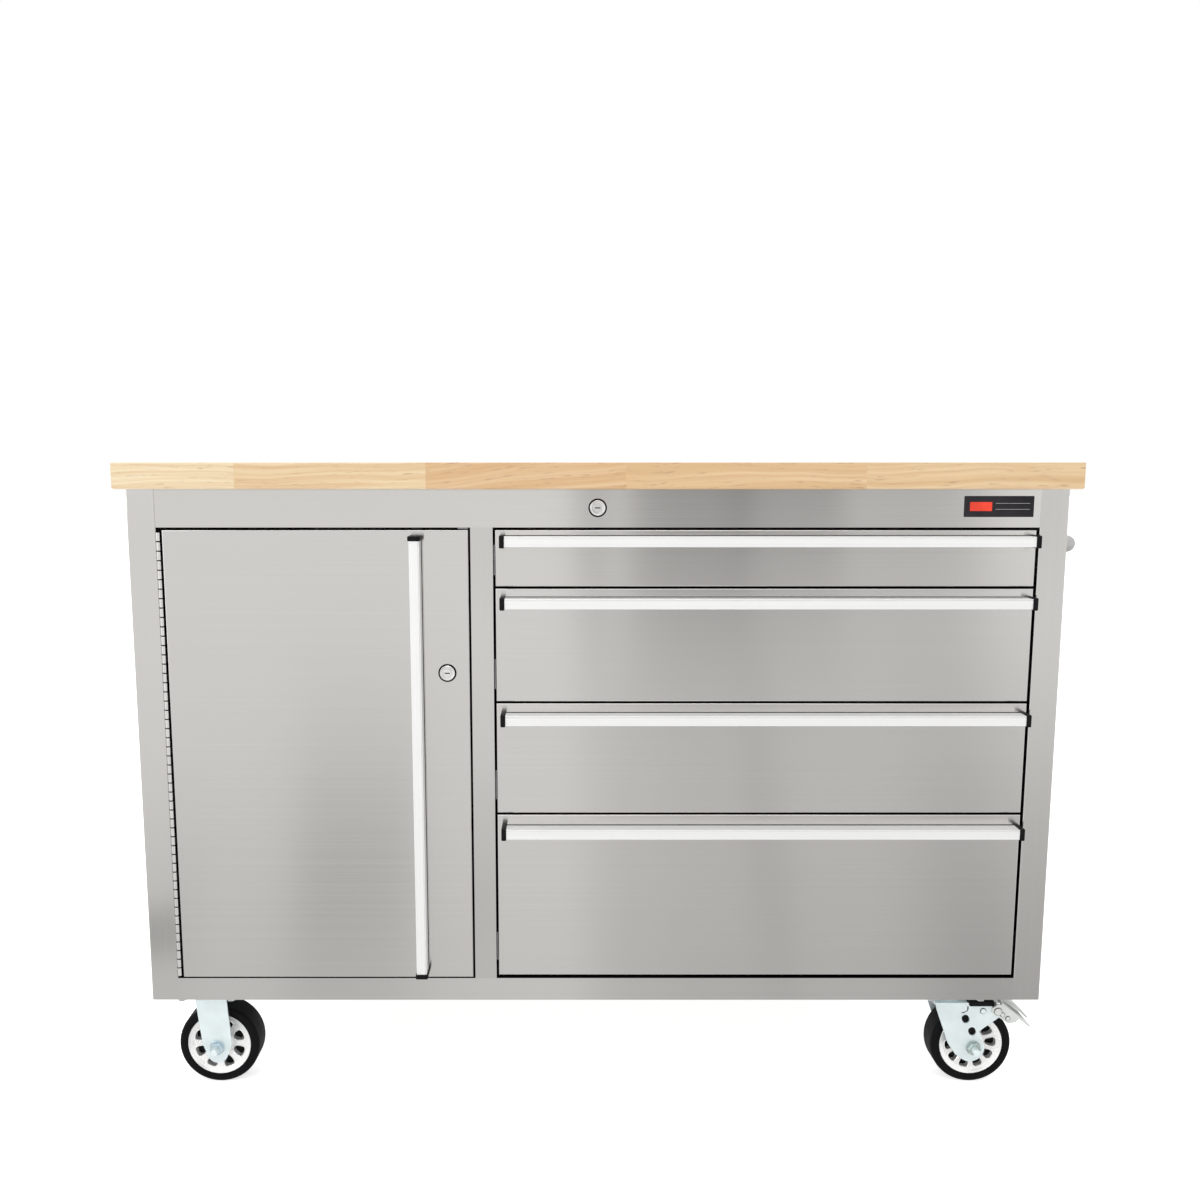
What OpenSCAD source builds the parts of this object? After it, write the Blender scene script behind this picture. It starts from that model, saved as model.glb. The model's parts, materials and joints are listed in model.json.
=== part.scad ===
// Rolling tool chest: a stainless cabinet with one door, four drawers, a wooden worktop and casters.
// Lengths are in millimetres. Inside the modules X is measured from the middle of the cabinet, Y from
// its front face towards the back, and Z from the floor; chest_frame() moves that to the part's origin.

/* [Cabinet] */
// Width of the steel cabinet, across the side panels
body_width = 1368; // [1300:1:1450]
// Depth of the steel cabinet
body_depth = 582; // [560:1:700]
// Height of the steel cabinet, without worktop and casters
body_height = 782; // [760:1:840]
// Thickness of the cabinet's sheet steel
sheet = 1.2; // [0.8:0.1:2]
// Width of the front and rear posts, folded from the side panels
post_width = 41; // [36:1:50]
// Height of the rail above the door and the drawers
top_rail_height = 55.4; // [50:0.1:70]
// Height of the rail below the door and the drawers
bottom_rail_height = 35.4; // [30:0.1:50]
// Left face of the divider, from the middle of the cabinet
divider_left = -185.4; // [-260:0.1:-120]
// Width of the divider
divider_width = 32.6; // [28:0.1:45]

/* [Worktop] */
// Width of the wooden worktop
worktop_width = 1397; // [1372:1:1500]
// Thickness of the wooden worktop
worktop_thickness = 38; // [25:1:50]
// How far the worktop stands out in front and behind
worktop_overhang = 14; // [5:1:40]

/* [Door] */
// Gap between the door and the top rail
door_gap_top = 3.7; // [2:0.1:6]
// Gap between the door and the bottom rail
door_gap_bottom = 1.6; // [1:0.1:6]
// Gap between the door and the divider
door_gap_side = 3.0; // [2:0.1:5]
// Depth of the hollow door
door_depth = 20; // [16:1:25]
// Length of one hinge knuckle
knuckle_length = 13.9; // [10:0.1:30]
// Height of the shelf's top above the cabinet floor
shelf_height = 330; // [150:1:500]

/* [Drawers] */
// Heights of the drawer fronts, from the top one down
drawer_heights = [82.5, 168.2, 167.8, 254.5]; // [80:0.1:260]
// Gap between neighbouring drawer fronts
drawer_gap = 3.1; // [2:0.1:5]
// Depth of the hollow drawer fronts
front_depth = 18; // [14:1:22]
// Length of the ball-bearing slides
slide_length = 508; // [450:1:520]
// How far a drawer opens
drawer_travel = 450; // [300:1:460]

/* [Pull handles] */
// How far a pull handle stands out
pull_reach = 25; // [18:1:35]
// Height of a pull handle's lip
pull_lip = 15; // [12:1:20]
// Thickness of a handle's end cap
cap_thickness = 7.3; // [4:0.1:10]
// Distance from each drawer front's top edge to its handle
pull_drop = [8.4, 12.8, 14.1, 16.2]; // [5:0.1:20]

/* [Locks] */
// Radius of a lock's chrome face
lock_face_r = 11.25; // [10:0.05:13]
// Height of the door lock's middle below the cabinet's top
door_lock_drop = 270; // [200:1:400]
// Distance from the door's free edge to its lock's middle
door_lock_inset = 33.1; // [28:0.1:45]

/* [Casters] */
// Height of the casters, from the floor to the cabinet
caster_height = 158; // [156:1:165]
// Wheel radius
wheel_r = 63.5; // [60:0.5:64]
// Wheel width
wheel_width = 46; // [38:1:50]
// Distance from the middle of the cabinet to the wheels
wheel_x = 597.5; // [560:0.5:600]
// Distance from the front face to the front wheels, and from the back face to the rear wheels
wheel_inset = 65; // [60:1:120]
// Distance from a swivel caster's pivot to its axle
trail = 35.5; // [30:0.5:38]

/* [Push handle] */
// Outer radius of the push handle's tube
tube_r = 12.7; // [10:0.1:16]
// How far the push handle stands out from the side
tube_reach = 55; // [45:1:70]
// Height of the tube's middle below the cabinet's top
tube_drop = 85; // [60:1:200]
// Distance from the front and back faces to the handle's legs
tube_inset = 82; // [70:1:200]

/* [Hidden] */
$fn = 48;

// Cabinet shell
half_body = body_width / 2;
body_bottom = caster_height;
body_top = body_bottom + body_height;
opening_half = half_body - post_width;
opening_top = body_top - top_rail_height;
opening_bottom = body_bottom + bottom_rail_height;
divider_right = divider_left + divider_width;
back_face = body_depth - sheet;
post_return = 45;
rear_return = 80;
rail_return = 40;
panel_flange = 20;

// Pull handles
web = 1.8;
cap_overlap = 1.7;

// The part's origin is under the middle of its bounding box
half_top = worktop_width / 2;
handle_side = half_body + tube_reach;
origin_x = (handle_side - half_top) / 2;
origin_y = (body_depth + worktop_overhang - pull_reach - cap_overlap) / 2;

// Door and hinge
barrel_r = 2.75;
barrel_gap = 0.3;
hinge_pin_r = 1.2;
hinge_bore_r = 1.27;
leaf = 1.1;
leaf_depth = 16;
leaf_face = 5;
hinge_x = -opening_half + barrel_r + barrel_gap;
door_left = -opening_half + 8.4;
door_right = divider_left - door_gap_side;
door_top = opening_top - door_gap_top;
door_bottom = opening_bottom + door_gap_bottom;
hinge_bottom = door_bottom + 2;
knuckles = 2 * floor((door_top - hinge_bottom - 2) / knuckle_length / 2) + 1;
door_pull_x = door_right - 68.9;
door_pull_end = 7.5;
shelf_top = opening_bottom + shelf_height;
shelf_lip = 25;

// Drawers
drawer_left = divider_right + 3.4;
drawer_right = opening_half - 4;
slide_space = 12.7;
slide_front = 24;
box_left = divider_right + slide_space;
box_right = opening_half - slide_space;
box_sheet = 1;
box_back = slide_front + slide_length + 13;
back_wall_drop = 18;
slide_above_box_bottom = 31;
pull_left = drawer_left + 7;
pull_right = drawer_right - 1.6;

// Locks
plug_r = 6.42;
plug_bore_r = 6.5;
barrel_hole_r = 9.8;
lock_barrel_r = 9.6;
lock_proud = 3;
door_lock_x = door_right - door_lock_inset;
door_lock_z = body_top - door_lock_drop;
drawer_lock_z = body_top - 27;
cam_length = 43;
cam_y = door_depth + 2;
crank_r = 8;
crank_pin_r = 2.5;
crank_y = box_back + 5;
bar_y = crank_y + 6;
bar_thickness = 2.5;
bar_half = 12;
bar_x = crank_r * (1 + cos(45)) / 2;
bar_travel = 2 * crank_r * sin(45);
hook_y = box_back - 10;

// Casters
plate_size = [102, 114, 3.5];
bolt_spacing = [76, 92];
rigid_x = -wheel_x - 8.5;
swivel_x = wheel_x - trail;
fork_half = 30;
fork_sheet = 3;
axle_r = 5;
axle_bore_r = 5.06;
crown_z = 134;
crown_thickness = 4;
race_gap = 0.4;
race_split_z = crown_z + 12.7;
kingpin_r = 6;
kingpin_bore_r = 6.06;
rim_r = 50;
pedal_pin = [trail + 35.2, 124.9];
pedal_pin_r = 3;
pedal_bore_r = 3.06;

function wheel_y(place) = place == "front" ? wheel_inset : body_depth - wheel_inset;
function sum_to(list, n) = n < 0 ? 0 : list[n] + sum_to(list, n - 1);
function front_top(i) = opening_top - door_gap_top - sum_to(drawer_heights, i - 2) - (i - 1) * drawer_gap;
function front_bottom(i) = front_top(i) - drawer_heights[i - 1];
function box_bottom(i) = front_bottom(i) + 6;
function box_height(i) = drawer_heights[i - 1] - max(20, 0.22 * drawer_heights[i - 1]);
function back_wall_top(i) = box_bottom(i) + box_height(i) - back_wall_drop;
function slide_z(i) = box_bottom(i) + slide_above_box_bottom;

// ---- Shared shapes ----

module chest_frame() {
  translate([-origin_x, -origin_y, 0]) children();
}

// A box between two opposite corners
module block(low, high) {
  translate(low) cube(high - low);
}

// A cylinder along Y
module rod_y(x, z, r, y0, y1) {
  translate([x, y0, z]) rotate([-90, 0, 0]) cylinder(r = r, h = y1 - y0);
}

// A drawing in X and Z, given a thickness along Y
module slab_y(y0, y1) {
  translate([0, y1, 0]) rotate([90, 0, 0]) linear_extrude(y1 - y0) children();
}

// A sheet pan, open at the back, with folded edges that end in a narrow lip
module pan(x0, x1, z0, z1, depth, t) {
  lip = 14;
  difference() {
    block([x0, 0, z0], [x1, depth, z1]);
    block([x0 + t, t, z0 + t], [x1 - t, depth - t, z1 - t]);
    block([x0 + lip, t, z0 + lip], [x1 - lip, depth + 1, z1 - lip]);
  }
}

// ---- Cabinet ----

module worktop() {
  color("burlywood")
    block([-half_top, -worktop_overhang, body_top],
          [half_top, body_depth + worktop_overhang, body_top + worktop_thickness]);
}

// The left panel; the right one is its mirror image
module side_panel() {
  color("gainsboro") union() {
    block([-half_body, 0, body_bottom], [-half_body + sheet, body_depth, body_top]);
    block([-half_body, 0, body_bottom], [-opening_half, sheet, body_top]);
    block([-opening_half - sheet, 0, opening_bottom], [-opening_half, post_return, body_top]);
    block([-half_body, back_face, body_bottom], [-opening_half, body_depth, body_top]);
    block([-opening_half - sheet, body_depth - rear_return, opening_bottom],
          [-opening_half, body_depth, body_top]);
    block([-half_body, 0, body_top - sheet], [-half_body + panel_flange, body_depth, body_top]);
    block([-half_body, 0, body_bottom], [-half_body + panel_flange, body_depth, body_bottom + sheet]);
  }
}

module back_panel() {
  inner = back_face - sheet;
  bracket_y = crank_y - 10;
  color("gainsboro") union() {
    block([-opening_half, inner, body_bottom], [opening_half, back_face, body_top]);
    // Guides for the lock bar
    for (z = [opening_bottom + 120, opening_bottom + 500]) {
      for (side = [-1, 1]) {
        cheek_x = bar_x + side * (bar_half + 1.3);
        lip_x = bar_x + side * (bar_half - 0.5);
        block([cheek_x - 0.7, bar_y - 4, z], [cheek_x + 0.7, inner, z + 30]);
        block([lip_x - 2.5, bar_y - 4, z], [lip_x + 2.5, bar_y - 2.6, z + 30]);
      }
    }
    // Bearing bracket for the lock shaft
    difference() {
      union() {
        block([-32, bracket_y, drawer_lock_z - 12], [-30.6, inner, drawer_lock_z + 12]);
        block([-32, bracket_y, drawer_lock_z - 12], [8, bracket_y + 1.4, drawer_lock_z + 12]);
      }
      rod_y(0, drawer_lock_z, 3.08, bracket_y - 1, bracket_y + 3);
    }
  }
}

module floor_panel() {
  color("gainsboro")
    block([-half_body + sheet, rail_return, opening_bottom - sheet],
          [half_body - sheet, back_face - sheet, opening_bottom]);
}

// A folded rail between the posts
module rail(z0, z1) {
  block([-opening_half, 0, z0], [opening_half, sheet, z1]);
  block([-opening_half, 0, z1 - sheet], [opening_half, rail_return, z1]);
}

module top_rail() {
  color("gainsboro") difference() {
    union() {
      rail(opening_top, body_top);
      block([-opening_half, 0, opening_top], [opening_half, rail_return, opening_top + sheet]);
    }
    rod_y(0, drawer_lock_z, barrel_hole_r, -1, 5);
  }
}

module bottom_rail() {
  color("gainsboro") union() {
    rail(body_bottom, opening_bottom);
    block([-opening_half, 0, body_bottom], [opening_half, 10, body_bottom + sheet]);
  }
}

module divider_panel() {
  inner = back_face - sheet;
  slot_low = door_lock_z - 9;
  slot_high = door_lock_z + 34;
  color("gainsboro") difference() {
    union() {
      block([divider_left, 0, opening_bottom], [divider_right, sheet, opening_top]);
      for (x = [divider_left, divider_right - sheet]) {
        block([x, 0, opening_bottom], [x + sheet, inner, opening_top]);
        block([x, rail_return, opening_bottom], [x + sheet, inner, body_top]);
      }
    }
    // Slot that the door lock's cam swings into
    block([divider_left - 1, cam_y - 4, slot_low], [divider_left + sheet + 1, cam_y + 8, slot_high]);
  }
}

module caster_channels() {
  color("silver") for (x = [rigid_x, swivel_x]) {
    difference() {
      union() {
        block([x - 56, 11, body_bottom], [x + 56, body_depth - 11, body_bottom + 2.5]);
        for (side = [-1, 1]) {
          block([x + side * 54.75 - 1.25, 11, body_bottom],
                [x + side * 54.75 + 1.25, body_depth - 11, opening_bottom - sheet]);
        }
      }
      for (place = ["front", "rear"]) bolt_holes(x, wheel_y(place), body_bottom - 1, body_bottom + 4);
    }
  }
}

module bolt_holes(x, y, z0, z1) {
  for (sx = [-1, 1], sy = [-1, 1]) {
    translate([x + sx * bolt_spacing[0] / 2, y + sy * bolt_spacing[1] / 2, z0])
      cylinder(r = 4.5, h = z1 - z0);
  }
}

module adjustable_shelf() {
  x0 = -opening_half + 2;
  x1 = divider_left - 2;
  y0 = 30;
  y1 = body_depth - 24;
  color("gainsboro") union() {
    block([x0, y0, shelf_top - sheet], [x1, y1, shelf_top]);
    for (x = [x0, x1 - sheet]) block([x, y0, shelf_top - shelf_lip], [x + sheet, y1, shelf_top]);
    for (y = [y0, y1 - sheet]) block([x0, y, shelf_top - shelf_lip], [x1, y + sheet, shelf_top]);
  }
}

module shelf_clips() {
  ledge_z = shelf_top - shelf_lip;
  color("silver") for (y = [32, body_depth - 70]) {
    block([-opening_half, y, ledge_z - 14], [-opening_half + 1.5, y + 12, ledge_z + 10]);
    block([-opening_half, y, ledge_z - 1.5], [-opening_half + 14, y + 12, ledge_z]);
    block([divider_left - 1.5, y, ledge_z - 14], [divider_left, y + 12, ledge_z + 10]);
    block([divider_left - 14, y, ledge_z - 1.5], [divider_left, y + 12, ledge_z]);
  }
}

module magnetic_catch() {
  y0 = door_depth + 0.8;
  color("silver")
    block([door_right - 17, y0, opening_top - 14], [door_right - 2, y0 + 14, opening_top]);
}

// ---- Push handle ----

module push_handle() {
  tube_x = handle_side - tube_r;
  bend = 28;
  z = body_top - tube_drop;
  y0 = tube_inset;
  y1 = body_depth - tube_inset;
  color("silver") union() {
    for (y = [y0, y1]) {
      translate([half_body, y, z]) rotate([0, 90, 0]) cylinder(r = 26, h = 3);
      translate([half_body, y, z]) rotate([0, 90, 0]) cylinder(r = tube_r, h = tube_x - bend - half_body);
    }
    translate([tube_x - bend, y0 + bend, z]) rotate([0, 0, -90]) rotate_extrude(angle = 90)
      translate([bend, 0]) circle(r = tube_r);
    translate([tube_x - bend, y1 - bend, z]) rotate_extrude(angle = 90)
      translate([bend, 0]) circle(r = tube_r);
    rod_y(tube_x, z, tube_r, y0 + bend, y1 - bend);
  }
}

// ---- Drawer slides ----

// One C-shaped slide member; u is the distance from the wall that the slide is fixed to
module slide_member(u0, u1, web_low, web_high, half_height, t) {
  y1 = slide_front + slide_length;
  block([web_low, slide_front, -half_height], [web_high, y1, half_height]);
  block([u0, slide_front, half_height - t], [u1, y1, half_height]);
  block([u0, slide_front, -half_height], [u1, y1, -half_height + t]);
}

// Puts a slide member at both sides of drawer i
module slide_pair(i) {
  translate([divider_right, 0, slide_z(i)]) children();
  translate([opening_half, 0, slide_z(i)]) mirror([1, 0, 0]) children();
}

module slide_outer_rails() {
  color("silver") for (i = [1:4]) slide_pair(i) slide_member(0, 9.5, 0, 1.5, 22.5, 1.5);
}

module slide_middle(i) {
  color("silver") slide_pair(i) slide_member(2.2, 11, 2.2, 3.6, 20.5, 1.4);
}

// ---- Door ----

module door_panel() {
  color("gainsboro") difference() {
    pan(door_left, door_right, door_bottom, door_top, door_depth, sheet);
    rod_y(door_lock_x, door_lock_z, barrel_hole_r, -1, 5);
  }
}

module door_liner() {
  y0 = door_depth - 2 * sheet;
  color("gainsboro") difference() {
    block([door_left + sheet, y0, door_bottom + sheet], [door_right - sheet, y0 + sheet, door_top - sheet]);
    rod_y(door_lock_x, door_lock_z, barrel_hole_r, y0 - 1, door_depth + 1);
  }
}

// Hinge leaf drawn for the side where x grows; first is the number of its lowest knuckle
module hinge_leaf(first, reach, bore) {
  z_top = hinge_bottom + knuckles * knuckle_length;
  difference() {
    union() {
      for (k = [first:2:knuckles - 1]) {
        z = hinge_bottom + k * knuckle_length;
        translate([0, 0, z + 0.15]) cylinder(r = barrel_r, h = knuckle_length - 0.3);
        block([-leaf / 2, 0, z + 0.15], [leaf / 2, leaf_face + leaf, z + knuckle_length - 0.15]);
        block([0, leaf_face, z + 0.15], [reach, leaf_face + leaf, z + knuckle_length - 0.15]);
      }
      block([reach - leaf, leaf_face, hinge_bottom], [reach, leaf_depth, z_top]);
    }
    translate([0, 0, hinge_bottom - 1]) cylinder(r = bore, h = z_top - hinge_bottom + 2);
  }
}

module hinge_frame_leaf() {
  color("silver") translate([hinge_x, 0, 0]) union() {
    mirror([1, 0, 0]) hinge_leaf(0, barrel_r + barrel_gap, hinge_pin_r);
    translate([0, 0, hinge_bottom]) cylinder(r = hinge_pin_r, h = knuckles * knuckle_length);
  }
}

module hinge_door_leaf() {
  color("silver") translate([hinge_x, 0, 0]) hinge_leaf(1, door_left - hinge_x, hinge_bore_r);
}

// ---- Pull handles ----

// Profile of a pull: x is the distance out from the front, y is up, with its top at 0
module pull_profile() {
  translate([0, -pull_lip]) square([web, pull_lip]);
  translate([0, -web]) square([pull_reach, web]);
  translate([pull_reach - web, -pull_lip]) square([web, pull_lip]);
}

module cap_profile() {
  translate([0, -pull_lip - cap_overlap]) square([pull_reach + cap_overlap, pull_lip + 2 * cap_overlap]);
}

// A horizontal pull along X, from x0 to x1, with its top at z
module across(x0, x1, z) {
  translate([x1, 0, z]) rotate([90, 0, -90]) linear_extrude(x1 - x0) children();
}

// A profile standing upright on the door, from z0 to z1, with its web on the right
module upright(x, z0, z1) {
  translate([x, 0, z0]) rotate([0, 0, -90]) linear_extrude(z1 - z0) children();
}

module drawer_handle(i) {
  color("white") across(pull_left + cap_thickness, pull_right - cap_thickness, front_top(i) - pull_drop[i - 1])
    pull_profile();
}

module drawer_handle_caps(i) {
  color("black") for (x = [pull_left, pull_right - cap_thickness]) {
    across(x, x + cap_thickness, front_top(i) - pull_drop[i - 1]) cap_profile();
  }
}

module door_handle() {
  color("white") upright(door_pull_x, door_bottom + door_pull_end + cap_thickness,
                         door_top - door_pull_end - cap_thickness) pull_profile();
}

module door_handle_caps() {
  color("black") for (z = [door_bottom + door_pull_end, door_top - door_pull_end - cap_thickness]) {
    upright(door_pull_x, z, z + cap_thickness) cap_profile();
  }
}

// ---- Locks ----

module lock_housing(x, z, length) {
  color("silver") difference() {
    union() {
      rod_y(x, z, lock_face_r, -lock_proud, 0);
      rod_y(x, z, lock_barrel_r, -1, length);
    }
    rod_y(x, z, plug_bore_r, -lock_proud - 1, length + 1);
  }
}

// The turning plug, with a keyway across it
module lock_plug(x, z, length) {
  difference() {
    rod_y(x, z, plug_r, -lock_proud - 0.2, length);
    block([x - 4, -lock_proud - 1, z - 0.8], [x + 4, 6, z + 0.8]);
  }
}

module door_lock_plug() {
  color("silver") union() {
    lock_plug(door_lock_x, door_lock_z, cam_y + 2.5);
    rod_y(door_lock_x, door_lock_z, 8.5, cam_y, cam_y + 2.5);
    block([door_lock_x - 6, cam_y, door_lock_z], [door_lock_x + 6, cam_y + 2.5, door_lock_z + cam_length]);
  }
}

module drawer_lock_plug() {
  pin_x = crank_r * cos(45);
  pin_z = drawer_lock_z + crank_r * sin(45);
  color("silver") union() {
    lock_plug(0, drawer_lock_z, 24);
    rod_y(0, drawer_lock_z, 3, 20, crank_y + 1);
    rod_y(0, drawer_lock_z, crank_r + 4, crank_y, crank_y + 3);
    rod_y(pin_x, pin_z, crank_pin_r, crank_y + 1, bar_y + bar_thickness + 2);
  }
}

module drawer_lock_bar() {
  slot_z = drawer_lock_z + crank_r * sin(45);
  slot_half = (crank_r * (1 - cos(45)) + 1) / 2 + crank_pin_r;
  slot_rise = crank_pin_r + 0.5;
  color("silver") union() {
    difference() {
      block([bar_x - bar_half, bar_y, opening_bottom + bar_travel + 4],
            [bar_x + bar_half, bar_y + bar_thickness, slot_z + 9]);
      block([bar_x - slot_half, bar_y - 1, slot_z - slot_rise],
            [bar_x + slot_half, bar_y + bar_thickness + 1, slot_z + slot_rise]);
    }
    for (i = [1:4]) {
      z = back_wall_top(i) + 3;
      block([bar_x - bar_half, hook_y, z + 12], [bar_x + bar_half, bar_y + bar_thickness, z + 14]);
      block([bar_x - bar_half, hook_y, z], [bar_x + bar_half, hook_y + 2, z + 14]);
    }
  }
}

// ---- Drawers ----

module drawer_front(i) {
  color("gainsboro") pan(drawer_left, drawer_right, front_bottom(i), front_top(i), front_depth, sheet);
}

module drawer_box(i) {
  z0 = box_bottom(i);
  z1 = z0 + box_height(i);
  t = box_sheet;
  color("lightgray") union() {
    difference() {
      block([box_left, front_depth, z0], [box_right, box_back, z1]);
      block([box_left + t, front_depth + t, z0 + t], [box_right - t, box_back - t, z1 + 1]);
      block([box_left + t, box_back - 2 * t, back_wall_top(i)], [box_right - t, box_back + 1, z1 + 1]);
    }
    slide_pair(i) slide_member(5, slide_space, 11.3, slide_space, 18.4, 1.4);
  }
}

// ---- Casters ----

// Top plate of a caster, with its four bolt holes
module caster_plate(x, y) {
  difference() {
    block([x - plate_size[0] / 2, y - plate_size[1] / 2, body_bottom - plate_size[2]],
          [x + plate_size[0] / 2, y + plate_size[1] / 2, body_bottom]);
    bolt_holes(x, y, body_bottom - 10, body_bottom + 1);
  }
}

module swivel_top_plates() {
  color("lightsteelblue") for (place = ["front", "rear"]) {
    y = wheel_y(place);
    caster_plate(swivel_x, y);
    translate([swivel_x, y, 0]) union() {
      translate([0, 0, race_split_z + race_gap])
        cylinder(r = 28, h = body_bottom - 1 - race_split_z - race_gap);
      translate([0, 0, crown_z - 11]) cylinder(r = kingpin_r, h = body_bottom - crown_z + 10);
      translate([0, 0, crown_z - race_gap - 7]) cylinder(r = 10, h = 7, $fn = 6);
    }
  }
}

// Axle bolt with its head behind the wheel and its nut in front
module axle_bolt(x) {
  rod_y(x, wheel_r, axle_r, -fork_half - fork_sheet - 20, fork_half + fork_sheet + 7);
  translate([x, -fork_half - fork_sheet - 8, wheel_r]) rotate([-90, 0, 0]) cylinder(r = 9.5, h = 8, $fn = 6);
  translate([x, fork_half + fork_sheet, wheel_r]) rotate([-90, 0, 0]) cylinder(r = 9.5, h = 7, $fn = 6);
}

module on_both_fork_sides() {
  children();
  mirror([0, 1, 0]) children();
}

module rigid_caster_forks() {
  axle_x = -wheel_x - rigid_x;
  leg_half = 24.5;
  leg_top = body_bottom - plate_size[2];
  outline = [[-leg_half, leg_top], [leg_half, leg_top], [axle_x + 23, wheel_r + 6],
             [axle_x + 14, wheel_r - 18], [axle_x - 14, wheel_r - 18], [axle_x - 23, wheel_r + 6]];
  color("lightsteelblue") for (place = ["front", "rear"]) {
    caster_plate(rigid_x, wheel_y(place));
    translate([rigid_x, wheel_y(place), 0]) union() {
      block([-leg_half, -fork_half - fork_sheet, leg_top - 3], [leg_half, fork_half + fork_sheet, leg_top + 1]);
      on_both_fork_sides() slab_y(-fork_half - fork_sheet, -fork_half) union() {
        polygon(outline);
        translate([axle_x, wheel_r - 10]) circle(r = 16);
      }
      axle_bolt(axle_x);
    }
  }
}

module caster_bolts() {
  color("silver") for (x = [rigid_x, swivel_x], place = ["front", "rear"], sx = [-1, 1], sy = [-1, 1]) {
    translate([x + sx * bolt_spacing[0] / 2, wheel_y(place) + sy * bolt_spacing[1] / 2, 0]) union() {
      translate([0, 0, body_bottom - 8]) cylinder(r = 4, h = 21);
      translate([0, 0, body_bottom - plate_size[2] - 5]) cylinder(r = 7, h = 5, $fn = 6);
      translate([0, 0, body_bottom + 2.5]) cylinder(r = 7, h = 6, $fn = 6);
    }
  }
}

module oblong(middle, width, length, lean) {
  translate(middle) rotate(lean) union() {
    square([width, length - width], center = true);
    for (side = [-1, 1]) translate([0, side * (length - width) / 2]) circle(r = width / 2);
  }
}

// Leg of a swivel fork, seen from the front, with the pivot at x = 0
module swivel_leg() {
  crown_top = crown_z + crown_thickness;
  end_r = 22;
  slot_width = 11.6;
  slot_length = 14.4;
  slot_lean = 25;
  end = [trail - 4, wheel_r - 1.5];
  difference() {
    union() {
      polygon([[-27, crown_top], [27, crown_top], [27, 132], [62, 132], [74, 118], [74, 113.5], [43.7, 90.6],
               [end[0] + end_r, end[1] + 3], end, [end[0] - 10.5, end[1] - 19.3], [7.5, 52.5], [-4, 69.5],
               [-24.6, 127]]);
      translate(end) circle(r = end_r);
      translate(pedal_pin) circle(r = 9);
    }
    oblong([21.6, 111.1], slot_width, slot_length, slot_lean);
    oblong([32.9, 90.3], slot_width, slot_length, slot_lean);
    translate(pedal_pin) circle(r = pedal_bore_r);
  }
}

module swivel_fork(place) {
  outer = fork_half + fork_sheet;
  color("lightsteelblue") translate([swivel_x, wheel_y(place), 0]) difference() {
    union() {
      on_both_fork_sides() slab_y(-outer, -fork_half) swivel_leg();
      block([-27, -outer, crown_z], [27, outer, crown_z + crown_thickness]);
      translate([0, 0, crown_z]) cylinder(r = 26, h = race_split_z - crown_z);
      rod_y(trail + 13, 124.4, 4, -outer - 1.5, -outer + 1);
      axle_bolt(trail);
    }
    translate([0, 0, crown_z - 1]) cylinder(r = kingpin_bore_r, h = 20);
  }
}

module brake_pedal(place) {
  outer = fork_half + fork_sheet + 0.4;
  plate = 2.8;
  shoe_angle = 52;
  shoe_r = 69;
  color("silver") translate([swivel_x, wheel_y(place), 0]) union() {
    on_both_fork_sides() union() {
      slab_y(-outer - plate, -outer)
        polygon([[62, 122], [62, 130], [71, 137.5], [83, 133], [104, 113], [100, 107], [87, 105], [76, 113]]);
      rod_y(pedal_pin[0], pedal_pin[1], 5.5, -outer - plate - 1.4, -outer - 1);
      for (spot = [[78, 119.7], [86.7, 113.4]]) rod_y(spot[0], spot[1], 3.2, -outer - plate - 1, -outer - 1);
    }
    rod_y(pedal_pin[0], pedal_pin[1], pedal_pin_r, -outer - plate, outer + plate);
    rod_y(pedal_pin[0], pedal_pin[1], 5, -fork_half + 1, fork_half - 1);
    slab_y(-outer - plate, outer + plate) polygon([[75, 136], [121, 99], [123, 101], [77, 138.8]]);
    slab_y(-13, 13)
      polygon([[79, 133], [85, 140], [106, 126], [127, 105], [125, 103], [104, 122.5], [90, 130], [84, 128]]);
    translate([trail + shoe_r * cos(shoe_angle), 0, wheel_r + shoe_r * sin(shoe_angle)])
      rotate([0, 90 - shoe_angle, 0]) translate([-9, -22, -3]) cube([18, 44, 6]);
  }
}

// ---- Wheels ----

module at_wheel(side, place) {
  translate([side * wheel_x, wheel_y(place), wheel_r]) rotate([-90, 0, 0]) children();
}

// The rigid casters' rims have eight spokes and the swivel casters' ten
module wheel_rim(side, place) {
  half = wheel_width / 2 - 1;
  face = 18;
  pocket_depth = 12;
  openings = side < 0 ? 8 : 10;
  pocket_middle = 32;
  pocket_low = -8.5;
  pocket_high = 7.5;
  first_pocket = side < 0 ? 22.5 : -3.6;
  narrow = side < 0 ? 4.2 : 3.2;
  wide = side < 0 ? 9.4 : 7.9;
  color("gainsboro") at_wheel(side, place) difference() {
    union() {
      cylinder(r = 14, h = 2 * fork_half - 1, center = true);
      cylinder(r = 41, h = 2 * face, center = true);
      difference() {
        cylinder(r = rim_r, h = 2 * half, center = true);
        cylinder(r = 40, h = 2 * half + 2, center = true);
      }
    }
    cylinder(r = axle_bore_r, h = 80, center = true);
    // Pockets between the spokes, on both faces
    for (k = [0:openings - 1]) {
      for (way = [-1, 1]) {
        rotate(first_pocket + k * 360 / openings) translate([pocket_middle, 0, way * face])
          linear_extrude(2 * pocket_depth, center = true)
            polygon([[pocket_low, -narrow], [pocket_high, -wide], [pocket_high, wide], [pocket_low, narrow]]);
      }
    }
  }
}

module wheel_tyre(side, place) {
  half = wheel_width / 2;
  r = wheel_r;
  color("black") at_wheel(side, place) rotate_extrude()
    polygon([[rim_r, 1 - half], [r - 6, -half], [r - 2.6, 1.2 - half], [r - 0.6, 4.4 - half], [r, 9 - half],
             [r, half - 9], [r - 0.6, half - 4.4], [r - 2.6, half - 1.2], [r - 6, half], [rim_r, half - 1]]);
}

// ---- Nodes ----

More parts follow.
